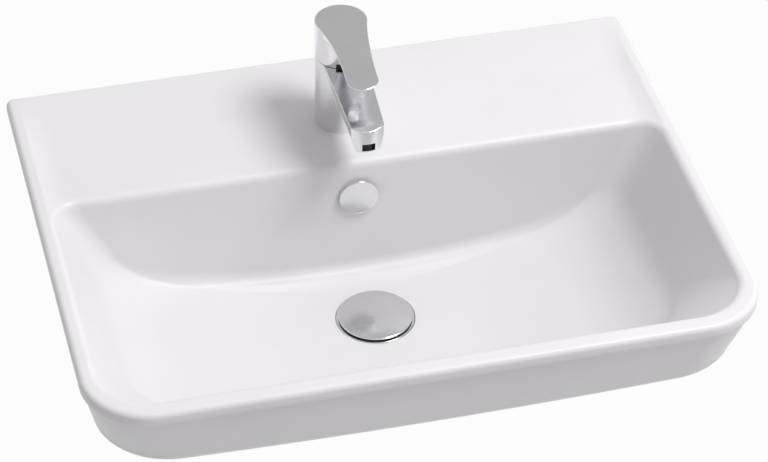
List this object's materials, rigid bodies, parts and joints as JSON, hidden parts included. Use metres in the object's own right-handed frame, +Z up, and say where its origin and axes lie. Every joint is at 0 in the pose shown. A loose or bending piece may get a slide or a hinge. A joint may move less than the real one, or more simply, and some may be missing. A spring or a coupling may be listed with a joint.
{
  "type": "washbasin",
  "caption": "Wall-hung rectangular ceramic washbasin with a single-lever mixer tap, click plug waste and overflow.",
  "frame": {"origin": "midway between the two wall fixing holes, on the wall plane", "axes": "+Z up, +Y towards the wall, the bowl's front faces -Y, +X to the right seen from the front"},
  "size_m": [0.6, 0.465, 0.3333],
  "materials": {
    "glazed_white": "high gloss white glaze",
    "chrome": "polished chrome plate",
    "brass": "turned brass",
    "steel": "bright steel",
    "rubber": "matt black rubber",
    "white_plastic": "moulded white plastic",
    "black_plastic": "moulded black plastic",
    "oxide_ceramic": "lapped oxide ceramic",
    "index": "grey plastic plug"
  },
  "bodies": {
    "basin": {"basin_body": "glazed_white", "overflow_sleeve": "white_plastic", "overflow_cover": "chrome", "waste_body": "chrome", "waste_upper_seal": "rubber", "waste_lower_gasket": "rubber", "waste_washer": "black_plastic", "waste_back_nut": "brass", "click_sleeve": "white_plastic", "click_spring": "steel", "click_lock_nut": "brass", "tap_body": "chrome", "tap_base_seal": "rubber", "horseshoe_gasket": "rubber", "horseshoe_washer": "steel", "fixing_stud": "steel", "fixing_nut": "brass", "aerator_housing": "black_plastic", "aerator_insert": "black_plastic", "aerator_seal": "rubber", "cartridge_base": "white_plastic", "cartridge_base_rings": "rubber", "fixed_disc": "oxide_ceramic", "cartridge_housing": "white_plastic", "cartridge_nut": "brass", "dome_cover": "black_plastic"},
    "swivel": {"cartridge_rotor": "white_plastic", "stem_pin": "steel"},
    "lever": {"lever_stem": "brass", "lever_handle": "chrome", "lever_grub_screw": "steel", "index_plug": "index"},
    "disc": {"disc_carrier": "white_plastic", "moving_disc": "oxide_ceramic"},
    "plug": {"plug_plate": "chrome", "plug_seal": "rubber", "plug_stem": "brass"}
  },
  "joints": [
    {"name": "lever_swivel", "type": "hinge", "parent": "basin", "child": "swivel", "pos_m": [0, -0.097, 0.1303], "axis": [0, 0, 1], "range_deg": [-45, 45]},
    {"name": "lever_lift", "type": "hinge", "parent": "swivel", "child": "lever", "pos_m": [0, -0.097, 0.1313], "axis": [-1, 0, 0], "range_deg": [0, 25]},
    {"name": "disc_slide", "type": "slide", "parent": "swivel", "child": "disc", "axis": [0, -1, 0], "range_m": [0, 0.00592]},
    {"name": "plug_push", "type": "slide", "parent": "basin", "child": "plug", "axis": [0, 0, 1], "range_m": [0, 0.008], "deforming": ["click_spring"]}
  ],
  "couplings": [
    {"joint": "disc_slide", "follows": "lever_lift", "m_per_rad": 0.01356}
  ]
}
